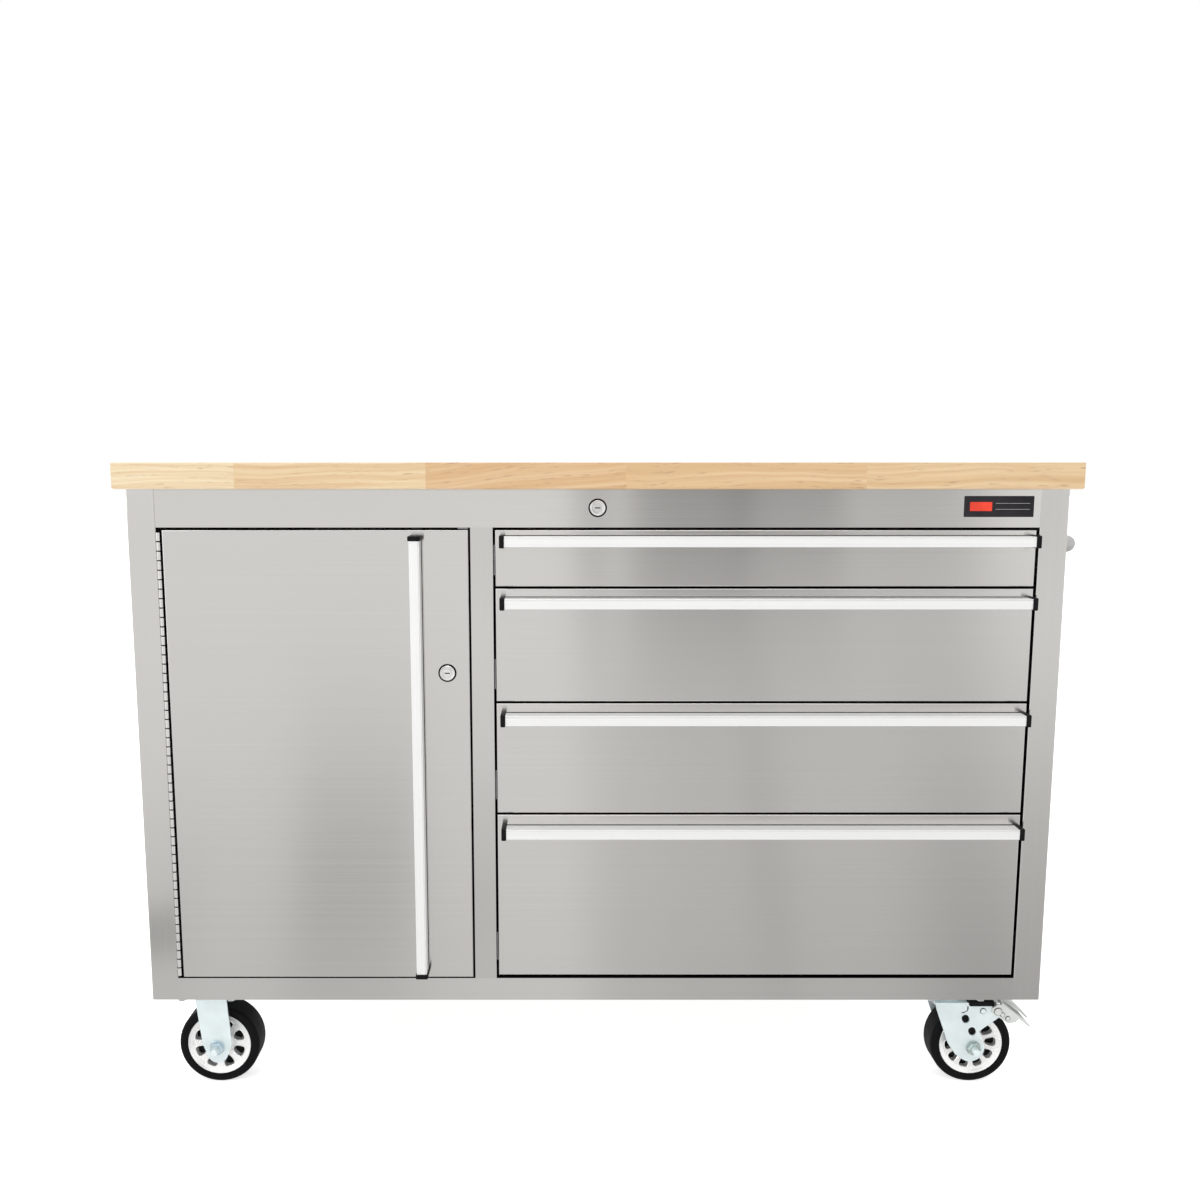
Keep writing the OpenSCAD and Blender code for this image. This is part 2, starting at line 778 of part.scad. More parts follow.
chest_frame() worktop();
chest_frame() side_panel();  // side_panel_left
chest_frame() mirror([1, 0, 0]) side_panel();  // side_panel_right
chest_frame() back_panel();
chest_frame() floor_panel();
chest_frame() top_rail();
chest_frame() bottom_rail();
chest_frame() divider_panel();
chest_frame() caster_channels();
chest_frame() push_handle();
chest_frame() swivel_top_plates();
chest_frame() rigid_caster_forks();
chest_frame() caster_bolts();
chest_frame() slide_outer_rails();
chest_frame() hinge_frame_leaf();
chest_frame() lock_housing(0, drawer_lock_z, 22);  // drawer_lock_housing
chest_frame() adjustable_shelf();
chest_frame() shelf_clips();
chest_frame() magnetic_catch();
chest_frame() door_panel();
chest_frame() door_liner();
chest_frame() door_handle();
chest_frame() door_handle_caps();
chest_frame() hinge_door_leaf();
chest_frame() lock_housing(door_lock_x, door_lock_z, door_depth);  // door_lock_housing
chest_frame() door_lock_plug();
chest_frame() drawer_lock_plug();
chest_frame() drawer_lock_bar();
for (i = [1:4]) {
  chest_frame() drawer_front(i);
  chest_frame() drawer_box(i);
  chest_frame() drawer_handle(i);
  chest_frame() drawer_handle_caps(i);
  chest_frame() slide_middle(i);
}
for (place = ["front", "rear"]) {
  chest_frame() wheel_rim(-1, place);
  chest_frame() wheel_rim(1, place);
  chest_frame() wheel_tyre(-1, place);
  chest_frame() wheel_tyre(1, place);
  chest_frame() swivel_fork(place);
  chest_frame() brake_pedal(place);
}
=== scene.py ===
"""Looks of the rolling tool chest: folded sheet steel, butcher-block worktop, pulls, locks and casters.

Lengths are in metres, in the part's own frame: the floor is z = 0, the front faces -Y.
"""

import json
import math
import random

import bmesh
import bpy
from mathutils import Matrix, Vector


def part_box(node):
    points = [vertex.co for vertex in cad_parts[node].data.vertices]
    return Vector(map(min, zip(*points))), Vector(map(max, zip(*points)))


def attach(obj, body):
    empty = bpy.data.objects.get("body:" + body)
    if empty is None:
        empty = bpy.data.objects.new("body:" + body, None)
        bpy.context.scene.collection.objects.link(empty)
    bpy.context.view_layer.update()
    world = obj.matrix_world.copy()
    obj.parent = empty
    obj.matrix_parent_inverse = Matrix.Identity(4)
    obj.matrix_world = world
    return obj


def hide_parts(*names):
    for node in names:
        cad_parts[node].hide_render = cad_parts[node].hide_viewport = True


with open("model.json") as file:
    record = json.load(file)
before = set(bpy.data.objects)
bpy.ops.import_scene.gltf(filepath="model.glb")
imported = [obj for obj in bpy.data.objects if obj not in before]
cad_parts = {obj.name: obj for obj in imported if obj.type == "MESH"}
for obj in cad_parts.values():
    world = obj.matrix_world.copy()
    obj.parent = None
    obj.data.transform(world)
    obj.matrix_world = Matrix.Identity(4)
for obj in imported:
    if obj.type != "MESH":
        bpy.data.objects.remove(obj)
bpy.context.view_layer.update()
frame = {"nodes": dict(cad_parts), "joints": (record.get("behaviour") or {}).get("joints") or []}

MM = 0.001
DRAWERS = (1, 2, 3, 4)
PLACES = ("front", "rear")
SIDES = ("left", "right")


# ---------------------------------------------------------------- camera

SENSOR_MM = 36.0
FOCAL_MM = 36.0
PITCH_DEG = 8.5255
SHIFT_RIGHT = 0.0267
SHIFT_UP = 0.0375
CAMERA_PLACE = Vector((-63.35, -2035.45, 974.3)) * MM


def make_camera():
    data = bpy.data.cameras.new("camera")
    data.sensor_width = SENSOR_MM
    data.lens = FOCAL_MM
    data.shift_x = SHIFT_RIGHT
    data.shift_y = SHIFT_UP
    camera = bpy.data.objects.new("camera", data)
    camera.location = CAMERA_PLACE
    camera.rotation_euler = (math.radians(90 - PITCH_DEG), 0, 0)
    bpy.context.scene.collection.objects.link(camera)
    bpy.context.scene.camera = camera


# ---------------------------------------------------------------- shader helpers


class Nodes:
    """A node tree under construction, with short calls for the nodes used here."""

    def __init__(self, tree):
        self.tree = tree

    def add(self, kind, **settings):
        node = self.tree.nodes.new(kind)
        for key, value in settings.items():
            setattr(node, key, value)
        return node

    def feed(self, node, socket, value):
        if isinstance(value, bpy.types.NodeSocket):
            self.tree.links.new(value, node.inputs[socket])
        else:
            node.inputs[socket].default_value = value

    def span(self, value, low, high, from_low=0.3, from_high=0.7):
        """Carries value from one range to another."""
        node = self.add("ShaderNodeMapRange")
        for socket, amount in (
            ("Value", value),
            ("From Min", from_low),
            ("From Max", from_high),
            ("To Min", low),
            ("To Max", high),
        ):
            self.feed(node, socket, amount)
        return node.outputs["Result"]

    def math(self, operation, a, b):
        node = self.add("ShaderNodeMath", operation=operation)
        self.feed(node, 0, a)
        self.feed(node, 1, b)
        return node.outputs["Value"]

    def ramp(self, value, stops):
        node = self.add("ShaderNodeValToRGB")
        elements = node.color_ramp.elements
        while len(elements) < len(stops):
            elements.new(0.5)
        for element, (position, colour) in zip(elements, stops):
            element.position = position
            element.color = (*colour, 1)
        self.feed(node, "Fac", value)
        return node.outputs["Color"]

    def mix(self, factor, a, b, blend="MIX"):
        node = self.add("ShaderNodeMix", data_type="RGBA", blend_type=blend)
        self.feed(node, "Factor", factor)
        self.feed(node, 6, a if isinstance(a, bpy.types.NodeSocket) else (*a, 1))
        self.feed(node, 7, b if isinstance(b, bpy.types.NodeSocket) else (*b, 1))
        return node.outputs[2]


class Shader(Nodes):
    """A node material."""

    def __init__(self, name):
        self.material = bpy.data.materials.new(name)
        self.material.use_nodes = True
        super().__init__(self.material.node_tree)
        self.surface = self.tree.nodes["Principled BSDF"]
        self.place = self.add("ShaderNodeTexCoord").outputs["Object"]

    def noise(self, scale, stretch=(1, 1, 1), detail=3.0, roughness=0.5, place=None):
        mapping = self.add("ShaderNodeMapping")
        self.feed(mapping, "Vector", place or self.place)
        self.feed(mapping, "Scale", stretch)
        node = self.add("ShaderNodeTexNoise")
        self.feed(node, "Vector", mapping.outputs["Vector"])
        self.feed(node, "Scale", scale)
        self.feed(node, "Detail", detail)
        self.feed(node, "Roughness", roughness)
        return node.outputs["Fac"]

    def bump(self, height, strength, distance=0.001):
        node = self.add("ShaderNodeBump")
        self.feed(node, "Height", height)
        self.feed(node, "Strength", strength)
        self.feed(node, "Distance", distance)
        self.feed(self.surface, "Normal", node.outputs["Normal"])

    def set(self, **sockets):
        for key, value in sockets.items():
            name = key.replace("_", " ").title().replace("Ior", "IOR")
            if isinstance(value, tuple) and len(value) == 3:
                value = (*value, 1)
            self.feed(self.surface, name, value)


def shade(colour, factor):
    return tuple(min(1.0, c * factor) for c in colour)


# ---------------------------------------------------------------- materials


def brushed_steel(name, colour, grain, roughness=0.135, anisotropy=0.97, streak=0.025):
    """Sheet brushed along the axis named by grain: reflections spread across the grain."""
    s = Shader(name)
    along = {"x": (1.5, 800, 800), "z": (800, 800, 1.5)}[grain]
    fine = s.noise(1.0, along, detail=3, roughness=0.6)
    coarse = s.noise(1.0, tuple(k * 0.22 for k in along), detail=2)
    smear = s.noise(3.0, detail=3, roughness=0.5)
    hairs = s.math("ADD", s.math("MULTIPLY", fine, 0.75), s.math("MULTIPLY", coarse, 0.25))
    base = s.mix(s.span(hairs, 0.0, 1.0), shade(colour, 1 - streak), shade(colour, 1 + streak))
    worn = s.mix(s.span(smear, 0.0, 0.5), base, shade(colour, 0.97))
    rough = s.math("ADD", s.span(hairs, -0.008, 0.008), s.span(smear, roughness, roughness + 0.012))
    tangent = s.add("ShaderNodeTangent", direction_type="RADIAL", axis="Z")
    s.feed(s.surface, "Tangent", tangent.outputs["Tangent"])
    s.set(base_color=worn, metallic=1.0, roughness=rough, anisotropic=anisotropy)
    s.set(anisotropic_rotation=0.0 if grain == "z" else 0.25)
    s.bump(hairs, 0.03, 0.0001)
    return s.material


def painted_shade_edge(name):
    """Painted shade: the folded edges inside the gaps, made near black because little light gets in there.
    """
    s = Shader(name)
    cloud = s.noise(40.0, detail=3)
    s.set(base_color=s.mix(s.span(cloud, 0.0, 1.0), (0.008, 0.008, 0.008), (0.014, 0.014, 0.014)))
    s.set(roughness=s.span(cloud, 0.6, 0.7), specular_ior_level=0.05)
    return s.material


def zinc_plate(name, colour, metallic=0.85, roughness=0.36):
    """Plated pressed steel: cloudy, with a fine grain."""
    s = Shader(name)
    cloud = s.noise(28.0, detail=5, roughness=0.6)
    grain = s.noise(900.0, detail=2)
    base = s.mix(s.span(cloud, 0.0, 1.0), shade(colour, 0.93), shade(colour, 1.05))
    s.set(base_color=base, metallic=metallic)
    fine = s.span(grain, roughness - 0.03, roughness + 0.03)
    s.set(roughness=s.math("ADD", s.span(cloud, -0.06, 0.08), fine))
    s.bump(s.math("ADD", cloud, s.math("MULTIPLY", grain, 0.3)), 0.15, 0.0003)
    return s.material


def chrome(name, colour, roughness=0.1, metallic=1.0):
    s = Shader(name)
    haze = s.noise(60.0, detail=5, roughness=0.65)
    orange_peel = s.noise(420.0, detail=1)
    s.set(base_color=s.mix(s.span(haze, 0.0, 1.0), shade(colour, 0.96), colour), metallic=metallic)
    s.set(roughness=s.span(haze, roughness * 0.7, roughness * 1.6))
    s.bump(orange_peel, 0.05, 0.0002)
    return s.material


def satin_aluminium(name, colour):
    """Anodised extrusion, with faint die lines along its length."""
    s = Shader(name)
    die = s.noise(1.0, (1.0, 900, 900) if name.endswith("across") else (900, 900, 1.0), detail=3)
    cloud = s.noise(14.0, detail=3)
    base = s.mix(s.span(die, 0.0, 1.0), shade(colour, 0.95), shade(colour, 1.02))
    s.set(base_color=s.mix(s.span(cloud, 0.0, 0.3), base, shade(colour, 0.93)), metallic=0.55)
    s.set(roughness=s.span(die, 0.34, 0.46))
    s.bump(die, 0.08, 0.0002)
    return s.material


def moulded_black(name, colour=(0.003, 0.003, 0.0035), roughness=0.45, specular=0.12):
    s = Shader(name)
    texture = s.noise(1400.0, detail=3, roughness=0.6)
    dust = s.noise(22.0, detail=4)
    s.set(base_color=s.mix(s.span(dust, 0.0, 1.0), colour, shade(colour, 1.7)))
    s.set(roughness=s.span(texture, roughness - 0.06, roughness + 0.12), specular_ior_level=specular)
    s.bump(texture, 0.2, 0.0002)
    return s.material


def tyre_rubber(name):
    """Smooth black rubber with fine pores and a little dust."""
    s = Shader(name)
    dust = s.noise(35.0, detail=6, roughness=0.65)
    pores = s.noise(1100.0, detail=2)
    s.set(base_color=s.mix(s.span(dust, 0.0, 1.0), (0.0025, 0.0025, 0.003), (0.005, 0.005, 0.006)))
    s.set(roughness=s.span(dust, 0.45, 0.65), specular_ior_level=0.09)
    s.bump(s.math("ADD", pores, s.math("MULTIPLY", dust, 0.5)), 0.18, 0.0003)
    return s.material


WOOD_TONES = [
    (0.00, (0.413, 0.248, 0.116)),
    (0.25, (0.473, 0.302, 0.158)),
    (0.50, (0.507, 0.351, 0.191)),
    (0.75, (0.533, 0.401, 0.233)),
    (1.00, (0.572, 0.477, 0.321)),
]


def rubberwood(name):
    """Oiled staves: each has its own tone and its own piece of grain, straight or sweeping across."""
    s = Shader(name)
    tone = s.add("ShaderNodeAttribute", attribute_name="stave_tone").outputs["Fac"]
    shift = s.add("ShaderNodeAttribute", attribute_name="stave_shift").outputs["Vector"]
    figure = s.add("ShaderNodeAttribute", attribute_name="stave_figure").outputs["Fac"]
    moved = s.add("ShaderNodeVectorMath", operation="ADD")
    s.feed(moved, 0, s.place)
    s.feed(moved, 1, shift)
    sway = s.noise(1.0, (3.5, 12, 12), detail=2, place=moved.outputs["Vector"])
    along = s.add("ShaderNodeSeparateXYZ")
    s.feed(along, 0, s.place)
    sweep = s.math("MULTIPLY", along.outputs["X"], s.math("MULTIPLY", s.math("POWER", figure, 3.0), -0.11))
    climb = s.add("ShaderNodeCombineXYZ")
    s.feed(climb, "Z", s.math("ADD", sweep, s.math("MULTIPLY", sway, 0.03)))
    bent = s.add("ShaderNodeVectorMath", operation="ADD")
    s.feed(bent, 0, moved.outputs["Vector"])
    s.feed(bent, 1, climb.outputs["Vector"])
    place = bent.outputs["Vector"]
    rings = s.noise(1.0, (1.2, 130, 130), detail=3, roughness=0.55, place=place)
    fibre = s.noise(1.0, (6, 330, 330), detail=3, roughness=0.6, place=place)
    pores = s.noise(1.0, (38, 420, 420), detail=2, roughness=0.5, place=place)
    base = s.ramp(tone, WOOD_TONES)
    strength = s.span(figure, 0.45, 1.0)
    dark_rings = s.math("MULTIPLY", s.span(rings, 0.0, 0.75, 0.46, 0.66), strength)
    ringed = s.mix(dark_rings, base, (0.42, 0.245, 0.115))
    light = s.mix(s.span(rings, 0.35, 0.0, 0.30, 0.48), ringed, (0.62, 0.50, 0.34))
    fibres = s.mix(s.span(fibre, 0.0, 0.55, 0.42, 0.70), light, (0.44, 0.28, 0.14))
    flecks = s.mix(s.span(pores, 0.0, 0.75, 0.62, 0.76), fibres, (0.25, 0.15, 0.08))
    s.set(base_color=flecks, roughness=s.span(fibre, 0.45, 0.6), coat_weight=0.08, coat_roughness=0.3)
    s.bump(s.math("ADD", s.math("MULTIPLY", pores, -1.0), s.math("MULTIPLY", fibre, 0.5)), 0.12, 0.0004)
    return s.material


def plain_pale_floor(name):
    s = Shader(name)
    cloud = s.noise(0.8, detail=3)
    s.set(base_color=s.mix(s.span(cloud, 0.0, 1.0), (0.90, 0.90, 0.90), (0.93, 0.93, 0.93)), roughness=0.75)
    s.set(emission_color=(1.0, 1.0, 1.0), emission_strength=0.66, specular_ior_level=0.0)
    return s.material


STEEL = (0.66, 0.645, 0.62)

M = {
    "steel_x": brushed_steel("stainless_brushed_across", STEEL, "x"),
    "steel_z": brushed_steel("stainless_brushed_upright", STEEL, "z"),
    # painted shade: near-black finish for the sheet edges inside the gaps and for the hinge leaves
    "edge": painted_shade_edge("painted_shade_in_the_gap"),
    "galvanised": zinc_plate("galvanised_sheet", (0.50, 0.51, 0.52), 0.9, 0.42),
    "zinc": zinc_plate("bright_zinc", (0.60, 0.61, 0.62), 0.95, 0.3),
    "blue_zinc": zinc_plate("blue_white_zinc", (0.66, 0.73, 0.74), 0.35, 0.4),
    "pedal_zinc": zinc_plate("pedal_zinc", (0.68, 0.70, 0.68), 0.5, 0.36),
    "nut_left": zinc_plate("nut_zinc_blue", (0.58, 0.69, 0.75), 0.7, 0.24),
    "nut_right": zinc_plate("nut_zinc_green", (0.50, 0.58, 0.56), 0.75, 0.22),
    "hinge": zinc_plate("hinge_steel", (0.80, 0.79, 0.77), 1.0, 0.3),
    "chrome": chrome("tube_chrome", (0.52, 0.52, 0.51), 0.3),
    "rim": chrome("rim_plating", (0.97, 0.97, 0.96), 0.2, 0.7),
    "lock": chrome("lock_plating", (0.84, 0.83, 0.81), 0.16),
    "pull_across": satin_aluminium("pull_aluminium_across", (0.80, 0.80, 0.79)),
    "pull_upright": satin_aluminium("pull_aluminium_upright", (0.80, 0.80, 0.79)),
    "black": moulded_black("moulded_black"),
    "painted_keyway_shade": moulded_black("keyway_painted_shade", (0.004, 0.004, 0.004), 0.7),
    # painted shadow: near-black strips for contact shadows and shaded creases
    "painted_shade_strip": moulded_black("pull_painted_shadow_dark", (0.015, 0.015, 0.015), 0.6),
    "badge": moulded_black("badge_black", (0.014, 0.013, 0.015), 0.35),
    "badge_red": moulded_black("badge_red", (0.42, 0.035, 0.02), 0.4),
    "rubber": tyre_rubber("tyre_rubber"),
    "wood": rubberwood("rubberwood_staves"),
    "floor": plain_pale_floor("pale_floor"),
}


# ---------------------------------------------------------------- mesh helpers


FLAT_WIDTH = 6 * MM


def smooth_by_angle(mesh, degrees=35):
    """Smooth faces, with every edge sharper than the angle kept sharp, and wide faces kept truly flat."""
    mesh.polygons.foreach_set("use_smooth", [True] * len(mesh.polygons))
    mesh.set_sharp_from_angle(angle=math.radians(degrees))
    for face in mesh.polygons:
        edges = [mesh.edges[mesh.loops[k].edge_index] for k in face.loop_indices]
        ends = [[mesh.vertices[v].co for v in edge.vertices] for edge in edges]
        longest = max((a - b).length for a, b in ends)
        if face.area > FLAT_WIDTH * longest:
            for edge in edges:
                edge.use_edge_sharp = True


def piece(name, bm, body, material, replaces=(), degrees=35):
    """Turns a bmesh into a riding piece. Its vertices are where the CAD frame has them."""
    bmesh.ops.recalc_face_normals(bm, faces=bm.faces)
    mesh = bpy.data.meshes.new(name)
    bm.to_mesh(mesh)
    bm.free()
    smooth_by_angle(mesh, degrees)
    mesh.materials.append(M[material])
    obj = bpy.data.objects.new(name, mesh)
    bpy.context.scene.collection.objects.link(obj)
    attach(obj, body)
    if replaces:
        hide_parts(*replaces)
    return obj


def add_box(bm, low, high, radius=0.0, segments=2):
    """A box with rounded edges, added to bm."""
    low = Vector(low)
    high = Vector(high)
    size = high - low
    place = Matrix.Translation((low + high) / 2) @ Matrix.Diagonal((*size, 1))
    made = bmesh.ops.create_cube(bm, size=1.0, matrix=place)
    if radius > 0:
        edges = list({e for v in made["verts"] for e in v.link_edges})
        bmesh.ops.bevel(bm, geom=edges, offset=radius, segments=segments, affect="EDGES", profile=0.5)


def add_prism(bm, outline, to_space, a, b):
    """Extrudes a closed 2D outline between depths a and b; to_space(u, v, w) places a point."""
    rings = [[bm.verts.new(to_space(u, v, w)) for u, v in outline] for w in (a, b)]
    count = len(outline)
    for k in range(count):
        bm.faces.new([rings[0][k], rings[0][(k + 1) % count], rings[1][(k + 1) % count], rings[1][k]])
    bm.faces.new(rings[0][::-1])
    bm.faces.new(rings[1])


def add_lathe(bm, profile, to_space, segments=64, closed=True):
    """Revolves (radius, depth) points; to_space(x, z, depth) places a point."""
    rings = []
    for radius, depth in profile:
        if radius < 1e-9:
            rings.append([bm.verts.new(to_space(0, 0, depth))])
            continue
        ring = []
        for k in range(segments):
            angle = 2 * math.pi * k / segments
            ring.append(bm.verts.new(to_space(radius * math.cos(angle), radius * math.sin(angle), depth)))
        rings.append(ring)
    pairs = list(zip(rings, rings[1:] + rings[:1])) if closed else list(zip(rings, rings[1:]))
    for one, two in pairs:
        for k in range(segments):
            n = (k + 1) % segments
            corners = [one[k % len(one)], one[n % len(one)], two[n % len(two)], two[k % len(two)]]
            corners = list(dict.fromkeys(corners))
            if len(corners) > 2:
                bm.faces.new(corners)


def arc(cx, cy, radius, start, end, steps=5):
    """Points along an arc, angles in degrees."""
    points = []
    for k in range(steps + 1):
        angle = math.radians(start + (end - start) * k / steps)
        points.append((cx + radius * math.cos(angle), cy + radius * math.sin(angle)))
    return points


def folded_outline(path, thickness, radius):
    """Outline of a folded sheet whose outer face follows path, with rounded bends.

    The sheet lies to the left of the path's direction of travel.
    """
    outer = []
    inner = []
    points = [Vector(p) for p in path]
    for k, point in enumerate(points):
        before = (point - points[k - 1]).normalized() if k > 0 else None
        after = (points[k + 1] - point).normalized() if k + 1 < len(points) else None
        if before is None or after is None:
            step = after or before
            normal = Vector((-step.y, step.x))
            outer.append(point)
            inner.append(point + normal * thickness)
            continue
        turn = before.x * after.y - before.y * after.x
        normal = Vector((-before.y, before.x))
        centre_side = 1 if turn > 0 else -1
        near = radius if turn > 0 else radius + thickness
        far = near - thickness * centre_side
        centre = point + (after - before) * near
        start = math.atan2(*(-normal * centre_side).yx)
        sweep = math.atan2(turn, before.dot(after))
        for n in range(5):
            angle = start + sweep * n / 4
            spoke = Vector((math.cos(angle), math.sin(angle)))
            outer.append(centre + spoke * near)
            inner.append(centre + spoke * max(far, 0.0002))
    return [tuple(p) for p in outer + inner[::-1]]


def along_z(u, v, w):
    return (u, v, w)


# ---------------------------------------------------------------- cabinet

SHEET = 1.2 * MM
BEND = 1.3 * MM


def side_panels():
    """Side, front post and rear post are one folded sheet on each side."""
    front_return = 45 * MM
    rear_return = 80 * MM
    flange = 20 * MM
    for side, outward in (("left", -1), ("right", 1)):
        node = f"side_panel_{side}"
        low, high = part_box(node)
        outer_x, inner_x = (high.x, low.x) if outward > 0 else (low.x, high.x)
        opening_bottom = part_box("door_panel")[0].z - 1.6 * MM
        path = [
            (inner_x, low.y + front_return),
            (inner_x, low.y),
            (outer_x, low.y),
            (outer_x, high.y),
            (inner_x, high.y),
            (inner_x, high.y - rear_return),
        ]
        bm = bmesh.new()
        for z0, z1, points in ((low.z, opening_bottom, path[1:5]), (opening_bottom, high.z, path)):
            points = points if outward > 0 else points[::-1]
            add_prism(bm, folded_outline(points, SHEET, BEND), along_z, z0, z1)
        for z0 in (low.z, high.z - SHEET):
            xs = sorted((outer_x - outward * SHEET, outer_x - outward * flange))
            add_box(bm, (xs[0], low.y + SHEET, z0), (xs[1], high.y - SHEET, z0 + SHEET))
        piece(f"side_skin_{side}", bm, "chest", "steel_z", [node])


def add_pan(bm, low, high, radius, lip):
    """A sheet pan facing -Y: rounded front edges, square sides and a lip turned in at the back."""

    def ring(inset, y):
        corners = (
            (low.x + inset, low.z + inset),
            (high.x - inset, low.z + inset),
            (high.x - inset, high.z - inset),
            (low.x + inset, high.z - inset),
        )
        return [bm.verts.new((x, y, z)) for x, z in corners]

    outer = [(lip, high.y), (0.6 * MM, high.y), (0.0, high.y - 0.6 * MM), (0.0, low.y + radius)]
    outer += [(radius - x, low.y + radius - y) for x, y in arc(0, 0, radius, 0, 90, 4)[1:]]
    inner = [(lip, high.y - SHEET), (SHEET, high.y - SHEET), (SHEET, low.y + SHEET)]
    points = inner[::-1] + outer
    rings = [ring(*p) for p in points]
    for (inset, y), (next_inset, next_y), one, two in zip(points, points[1:], rings, rings[1:]):
        # side faces inside the gaps take slot 1, the near-black painted shade
        in_the_gap = inset == next_inset == 0.0 and abs(next_y - y) > radius
        for k in range(4):
            n = (k + 1) % 4
            face = bm.faces.new([one[k], one[n], two[n], two[k]])
            face.material_index = 1 if in_the_gap else 0
    bm.faces.new(rings[0])
    bm.faces.new(rings[-1])


def fronts():
    """Door skin and drawer fronts."""
    radius = 1.4 * MM
    lip = 14 * MM
    bm = bmesh.new()
    add_pan(bm, *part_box("door_panel"), radius, lip)
    skin = piece("door_skin", bm, "door", "steel_x", ["door_panel"])
    # slot 1: near-black painted shade on the edges inside the gaps
    skin.data.materials.append(M["edge"])
    for i in DRAWERS:
        bm = bmesh.new()
        add_pan(bm, *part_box(f"drawer_front_{i}"), radius, lip)
        skin = piece(f"drawer_skin_{i}", bm, f"drawer_{i}", "steel_x", [f"drawer_front_{i}"])
        # slot 1: near-black painted shade on the edges inside the gaps
        skin.data.materials.append(M["edge"])


BADGE_WIDTH = 101 * MM
BADGE_HEIGHT = 30.3 * MM
BADGE_FROM_RIGHT = 10.5 * MM
BADGE_FROM_TOP = 9.9 * MM
BADGE_THICKNESS = 1.4 * MM


def badge():
    """Plain name plate without lettering: a dark plate, a red block, a fine grey line and a thin edge."""
    rail_low, rail_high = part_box("top_rail")
    right = rail_high.x - BADGE_FROM_RIGHT
    left = right - BADGE_WIDTH
    top = rail_high.z - BADGE_FROM_TOP
    bottom = top - BADGE_HEIGHT
    front = rail_low.y - BADGE_THICKNESS
    middle = (top + bottom) / 2
    bm = bmesh.new()
    add_box(bm, (left, front, bottom), (right, rail_low.y, top), 0.7 * MM, 3)
    piece("badge_plate", bm, "chest", "badge")
    proud = front - 0.25 * MM
    bm = bmesh.new()
    corner = (left + 8 * MM, proud, middle - 6.5 * MM)
    add_box(bm, corner, (left + 40 * MM, front, middle + 6.5 * MM), 0.2 * MM, 2)
    piece("badge_block", bm, "chest", "badge_red")
    bm = bmesh.new()
    for half in (4.6 * MM, -4.0 * MM):
        z = middle + half
        corner = (left + 45 * MM, proud, z - 0.3 * MM)
        add_box(bm, corner, (right - 6 * MM, front, z + 0.3 * MM), 0.1 * MM, 1)
    piece("badge_lines", bm, "chest", "zinc")


# ---------------------------------------------------------------- worktop

STAVE_ROWS = 14
FRONT_JOINTS = (0.126, 0.323, 0.529, 0.776)
FRONT_TONES = (1.0, 0.84, 0.30, 0.40, 0.60)
FRONT_FIGURES = (0.15, 0.45, 1.0, 0.2, 0.4)
STAVE_SEED = 7
TOP_ROUND = 1.0 * MM
BOTTOM_ROUND = 3.0 * MM
JOINT_ROUND = 0.3 * MM


def stave(bm, low, high, row, at_left, at_right):
    """One stave; only the worktop's own edges are properly rounded, the joints just broken."""
    front = row == 0
    back = row == STAVE_ROWS - 1
    outline = []
    for edge_y, way, outer in ((low.y, 1, front), (high.y, -1, back)):
        bottom = BOTTOM_ROUND if outer else JOINT_ROUND
        top = TOP_ROUND if outer else JOINT_ROUND
        side = [(edge_y + way * (bottom - x), low.z + bottom + z) for x, z in arc(0, 0, bottom, -90, 0, 5)]
        side += [(edge_y + way * (top - x), high.z - top + z) for x, z in arc(0, 0, top, 0, 90, 4)]
        outline += side if way > 0 else side[::-1]
    rings = []
    for x, inward, outer in ((low.x, 1, at_left), (high.x, -1, at_right)):
        radius = BOTTOM_ROUND if outer else JOINT_ROUND
        steps = [(x + inward * (radius - a), radius - b) for a, b in arc(0, 0, radius, 0, 90, 5)]
        group = []
        for ring_x, lift in steps:
            cap = TOP_ROUND * lift / radius
            points = [(y, min(max(z, low.z + lift), high.z - cap)) for y, z in outline]
            group.append([bm.verts.new((ring_x, y, z)) for y, z in points])
        rings += group if inward > 0 else group[::-1]
    count = len(outline)
    for one, two in zip(rings, rings[1:]):
        for k in range(count):
            n = (k + 1) % count
            bm.faces.new([one[k], one[n], two[n], two[k]])
    bm.faces.new(rings[0])
    bm.faces.new(rings[-1])


def worktop():
    """Butcher block: rows of finger-jointed staves, each with its own tone and grain."""
    low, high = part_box("worktop")
    width = high.x - low.x
    depth = (high.y - low.y) / STAVE_ROWS
    draw = random.Random(STAVE_SEED)
    bm = bmesh.new()
    facts = []
    for row in range(STAVE_ROWS):
        if row == 0:
            cuts = [0.0, *FRONT_JOINTS, 1.0]
            tones = FRONT_TONES
            figures = FRONT_FIGURES
        else:
            cuts = [0.0]
            while cuts[-1] < 0.80:
                cuts.append(cuts[-1] + draw.uniform(0.13, 0.30))
            cuts[-1] = min(cuts[-1], 0.9)
            cuts.append(1.0)
            tones = [draw.uniform(0.35, 0.98) for _ in cuts[1:]]
            figures = [draw.uniform(0.1, 0.8) for _ in cuts[1:]]
        y0 = low.y + row * depth
        for k, (a, b) in enumerate(zip(cuts, cuts[1:])):
            corner = Vector((low.x + a * width, y0, low.z))
            far_corner = Vector((low.x + b * width, y0 + depth, high.z))
            stave(bm, corner, far_corner, row, k == 0, k == len(cuts) - 2)
            shift = Vector([draw.uniform(-3, 3) for _ in range(3)])
            facts += [(tones[k], figures[k], shift)] * (len(bm.faces) - len(facts))
    obj = piece("worktop_staves", bm, "chest", "wood", ["worktop"])
    mesh = obj.data
    tone = mesh.attributes.new("stave_tone", "FLOAT", "FACE")
    figure = mesh.attributes.new("stave_figure", "FLOAT", "FACE")
    shift = mesh.attributes.new("stave_shift", "FLOAT_VECTOR", "FACE")
    for index, (t, f, v) in enumerate(facts):
        tone.data[index].value = t
        figure.data[index].value = f
        shift.data[index].vector = v


# ---------------------------------------------------------------- pulls

PULL_REACH = 25 * MM
PULL_LIP = 15 * MM
PULL_WEB = 1.8 * MM


